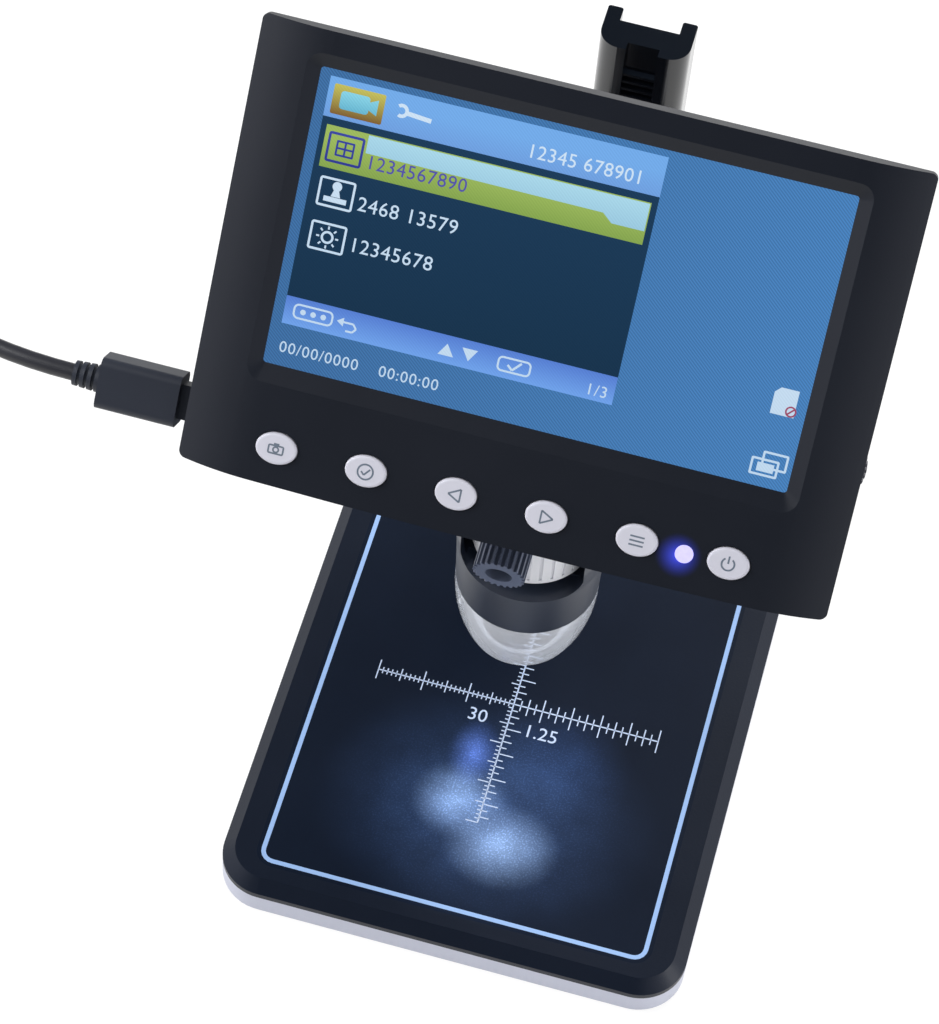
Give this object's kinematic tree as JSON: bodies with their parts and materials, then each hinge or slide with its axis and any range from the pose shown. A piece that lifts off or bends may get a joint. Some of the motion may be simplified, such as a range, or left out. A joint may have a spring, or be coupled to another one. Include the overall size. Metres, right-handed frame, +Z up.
{
  "type": "lcd digital microscope",
  "caption": "Bench microscope with a leaning display above a lens barrel, riding on a toothed column over a dark base with a printed measuring mat",
  "frame": {"origin": "on the table under the middle of the base", "axes": "+X to the right of the display, +Y towards the column, +Z up"},
  "size_m": [0.2886, 0.1704, 0.2019],
  "materials": {
    "base_black": "satin",
    "base_tray_grey": "satin",
    "mat_print": "satin",
    "foot_rubber": "matte",
    "screw_steel": "satin",
    "ballast_iron": "matte",
    "column_gloss": "polished",
    "carriage_black": "satin",
    "pad_nylon": "matte",
    "gear_brass": "satin",
    "shaft_steel": "polished",
    "knob_black": "satin",
    "barrel_gloss": "polished",
    "cap_clear": "polished",
    "board_white": "satin",
    "chip_yellow": "satin",
    "ring_white": "satin",
    "roller_black": "satin",
    "bracket_black": "satin",
    "carrier_black": "matte",
    "lens_glass": "polished",
    "board_green": "satin",
    "chip_black": "satin",
    "ribbon_orange": "satin",
    "bezel_black": "satin",
    "cover_black": "satin",
    "panel_screen": "satin",
    "switch_black": "satin",
    "button_grey": "satin",
    "light_pipe": "polished",
    "wheel_grey": "satin",
    "battery_wrap": "satin",
    "socket_steel": "satin",
    "cord_black": "satin"
  },
  "bodies": {
    "base": {"base_cover": "base_black", "base_tray": "base_tray_grey", "scale_mat": "mat_print", "rubber_feet": "foot_rubber", "base_screws": "screw_steel", "ballast_plate": "ballast_iron", "column": "column_gloss", "column_screws": "screw_steel", "cord_run": "cord_black", "cord_coil": "cord_black", "far_plug_body": "cord_black", "far_plug_shell": "socket_steel"},
    "pinion": {"pinion_gear": "gear_brass", "pinion_shaft": "shaft_steel", "height_knob_left": "knob_black", "height_knob_right": "knob_black"},
    "ring": {"focus_ring": "ring_white"},
    "roller": {"focus_roller": "roller_black"},
    "lens": {"lens_carrier": "carrier_black", "lenses": "lens_glass"},
    "wheel": {"brightness_wheel": "wheel_grey"},
    "snapshot_key": {"snapshot_button": "button_grey"},
    "confirm_key": {"confirm_button": "button_grey"},
    "left_key": {"left_button": "button_grey"},
    "right_key": {"right_button": "button_grey"},
    "menu_key": {"menu_button": "button_grey"},
    "power_key": {"power_button": "button_grey"},
    "head": {"arm_screws": "screw_steel", "barrel_housing": "barrel_gloss", "barrel_screws": "screw_steel", "battery": "battery_wrap", "brightness_control": "switch_black", "button_board": "board_green", "button_switches": "switch_black", "card_socket": "socket_steel", "carriage_body": "carriage_black", "carriage_cover": "carriage_black", "carriage_screws": "screw_steel", "case_screws": "screw_steel", "clamp_screw": "screw_steel", "clear_cap": "cap_clear", "friction_pad": "pad_nylon", "friction_screw": "screw_steel", "front_bezel": "bezel_black", "holder_arm": "carriage_black", "image_sensor": "chip_black", "lcd_panel": "panel_screen", "light_board": "board_white", "light_chips": "chip_yellow", "main_board": "board_green", "plug_body": "cord_black", "plug_shell": "socket_steel", "rear_cover": "cover_black", "roller_bracket": "bracket_black", "sensor_board": "board_green", "sensor_cable": "ribbon_orange", "status_light": "light_pipe", "strain_relief": "cord_black", "usb_socket": "socket_steel"}
  },
  "joints": [
    {"name": "head_slide", "type": "slide", "parent": "base", "child": "head", "axis": [0, 0, 1], "range_m": [-0.035, 0.03]},
    {"name": "pinion_turn", "type": "hinge", "parent": "head", "child": "pinion", "pos_m": [0, 0.03907, 0.108], "axis": [1, 0, 0], "range_deg": [-400, 460]},
    {"name": "ring_turn", "type": "hinge", "parent": "head", "child": "ring", "pos_m": [0, -0.0186, 0.09], "axis": [0, 0, 1], "range_deg": [-120, 120]},
    {"name": "roller_turn", "type": "hinge", "parent": "head", "child": "roller", "pos_m": [-0.0025, -0.0315, 0.09527], "axis": [0, 0.9848, 0.1736], "range_deg": [-340, 340]},
    {"name": "lens_slide", "type": "slide", "parent": "head", "child": "lens", "axis": [0, 0, 1], "range_m": [-0.0015, 0.0015]},
    {"name": "brightness_turn", "type": "hinge", "parent": "head", "child": "wheel", "pos_m": [0.05305, -0.03818, 0.15586], "axis": [0, -0.7782, 0.628], "range_deg": [-135, 135]},
    {"name": "snapshot_press", "type": "slide", "parent": "head", "child": "snapshot_key", "axis": [0, 0.7782, -0.628], "range_m": [0, 0.0008], "stiffness_N_per_m": 800},
    {"name": "confirm_press", "type": "slide", "parent": "head", "child": "confirm_key", "axis": [0, 0.7782, -0.628], "range_m": [0, 0.0008], "stiffness_N_per_m": 800},
    {"name": "left_press", "type": "slide", "parent": "head", "child": "left_key", "axis": [0, 0.7782, -0.628], "range_m": [0, 0.0008], "stiffness_N_per_m": 800},
    {"name": "right_press", "type": "slide", "parent": "head", "child": "right_key", "axis": [0, 0.7782, -0.628], "range_m": [0, 0.0008], "stiffness_N_per_m": 800},
    {"name": "menu_press", "type": "slide", "parent": "head", "child": "menu_key", "axis": [0, 0.7782, -0.628], "range_m": [0, 0.0008], "stiffness_N_per_m": 800},
    {"name": "power_press", "type": "slide", "parent": "head", "child": "power_key", "axis": [0, 0.7782, -0.628], "range_m": [0, 0.0008], "stiffness_N_per_m": 800}
  ],
  "couplings": [
    {"joint": "pinion_turn", "follows": "head_slide", "rad_per_m": -224.4},
    {"joint": "roller_turn", "follows": "ring_turn", "ratio": -2.3301},
    {"joint": "lens_slide", "follows": "ring_turn", "m_per_rad": 0.000716}
  ]
}
